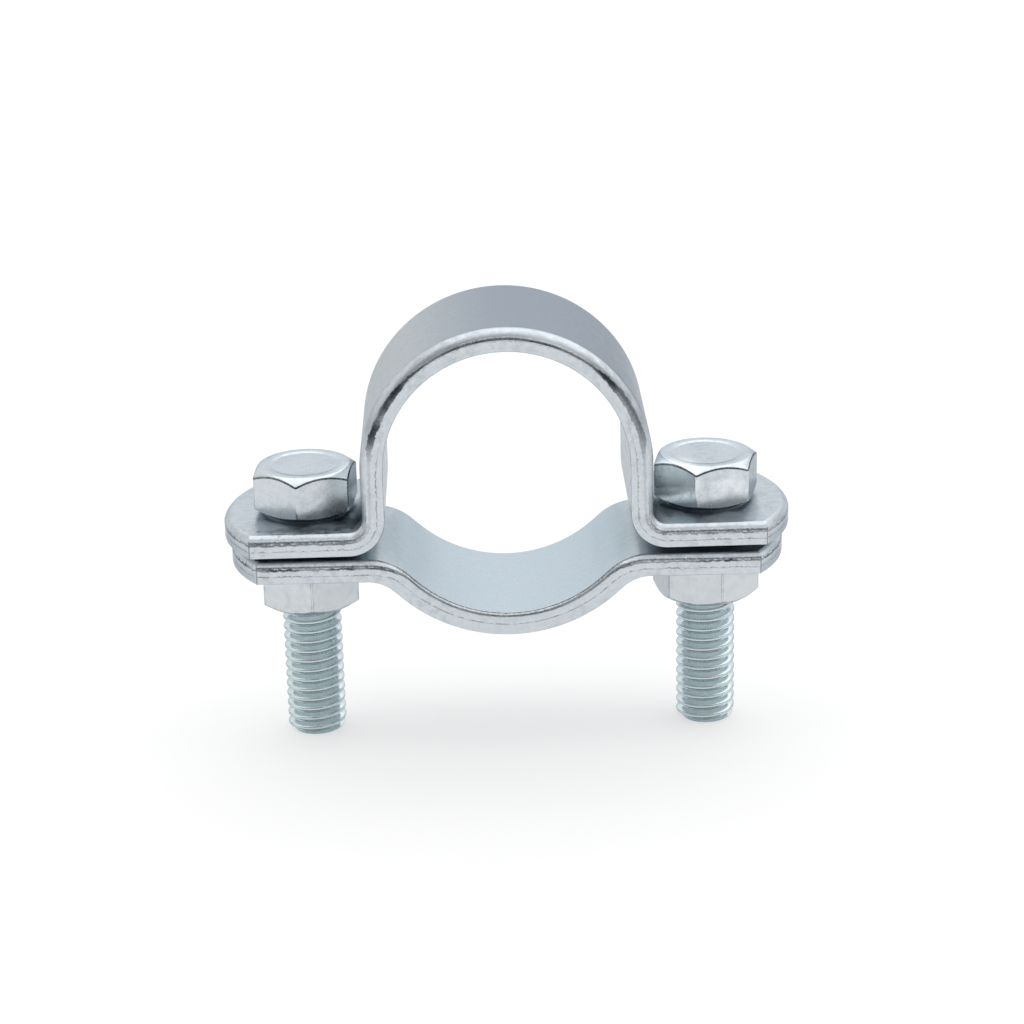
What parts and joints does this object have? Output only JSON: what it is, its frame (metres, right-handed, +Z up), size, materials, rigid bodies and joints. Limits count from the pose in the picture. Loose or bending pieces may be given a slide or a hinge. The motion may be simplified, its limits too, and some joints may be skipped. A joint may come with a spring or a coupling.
{
  "type": "double bolt pipe clamp",
  "caption": "Pipe clamp of two folded steel strips, an arch over a shallow dish, drawn together by a hexagon bolt and nut through the flat ears on each side.",
  "frame": {"origin": "on the ground midway between the two bolt tips that the clamp stands on", "axes": "+X from bolt to bolt, +Y along the pipe, +Z up towards the arch"},
  "size_m": [0.0754, 0.0226, 0.0589],
  "materials": {
    "strap_zinc": "bright zinc plate with a fine grain",
    "bolt_zinc": "bright zinc plate, rolled thread",
    "nut_zinc": "bright zinc plate, satin"
  },
  "bodies": {
    "upper_strap": {"upper_strap": "strap_zinc"},
    "lower_strap": {"lower_strap": "strap_zinc"},
    "bolt_left": {"bolt_left": "bolt_zinc"},
    "bolt_right": {"bolt_right": "bolt_zinc"},
    "nut_left": {"nut_left": "nut_zinc"},
    "nut_right": {"nut_right": "nut_zinc"}
  },
  "joints": [
    {"name": "clamp_opening", "type": "slide", "parent": "upper_strap", "child": "lower_strap", "axis": [0, 0, -1], "range_m": [-0.00047, 0.01693]},
    {"name": "nut_left_turn", "type": "hinge", "parent": "lower_strap", "child": "nut_left", "pos_m": [-0.0267, 0, 0.0218], "axis": [0, 0, -1], "range_deg": [-125, 4330]},
    {"name": "nut_right_turn", "type": "hinge", "parent": "lower_strap", "child": "nut_right", "pos_m": [0.0267, 0, 0.0215], "axis": [0, 0, -1], "range_deg": [-125, 4330]},
    {"name": "bolt_left_turn", "type": "hinge", "parent": "upper_strap", "child": "bolt_left", "pos_m": [-0.0267, 0, 0.03175], "axis": [0, 0, 1], "continuous": true},
    {"name": "bolt_right_turn", "type": "hinge", "parent": "upper_strap", "child": "bolt_right", "pos_m": [0.0267, 0, 0.03175], "axis": [0, 0, 1], "continuous": true}
  ],
  "couplings": [
    {"joint": "nut_left_turn", "follows": "clamp_opening", "rad_per_m": 4452.7},
    {"joint": "nut_right_turn", "follows": "clamp_opening", "rad_per_m": 4452.7}
  ]
}
